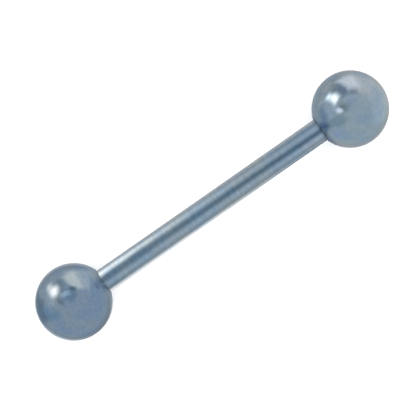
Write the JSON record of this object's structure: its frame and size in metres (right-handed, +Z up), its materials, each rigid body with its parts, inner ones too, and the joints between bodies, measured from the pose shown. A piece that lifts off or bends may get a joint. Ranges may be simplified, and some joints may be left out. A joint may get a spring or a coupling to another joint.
{
  "type": "straight barbell",
  "caption": "Straight barbell for a body piercing: a plain polished bar, threaded at each end, with a screw-on ball on each end.",
  "frame": {"origin": "on the surface that the piece rests on, under the middle of the bar", "axes": "+X along the bar towards ball_right, +Z up from the surface, +Y across the bar"},
  "size_m": [0.0266, 0.005, 0.005],
  "materials": {
    "polished_bar": "polished",
    "polished_ball": "polished"
  },
  "bodies": {
    "bar": {"bar": "polished_bar"},
    "ball_left": {"ball_left": "polished_ball"},
    "ball_right": {"ball_right": "polished_ball"}
  },
  "joints": [
    {"name": "ball_left_off", "type": "slide", "parent": "bar", "child": "ball_left", "axis": [-1, 0, 0], "range_m": [0, 0.005]},
    {"name": "ball_right_off", "type": "slide", "parent": "bar", "child": "ball_right", "axis": [1, 0, 0], "range_m": [0, 0.005]}
  ]
}
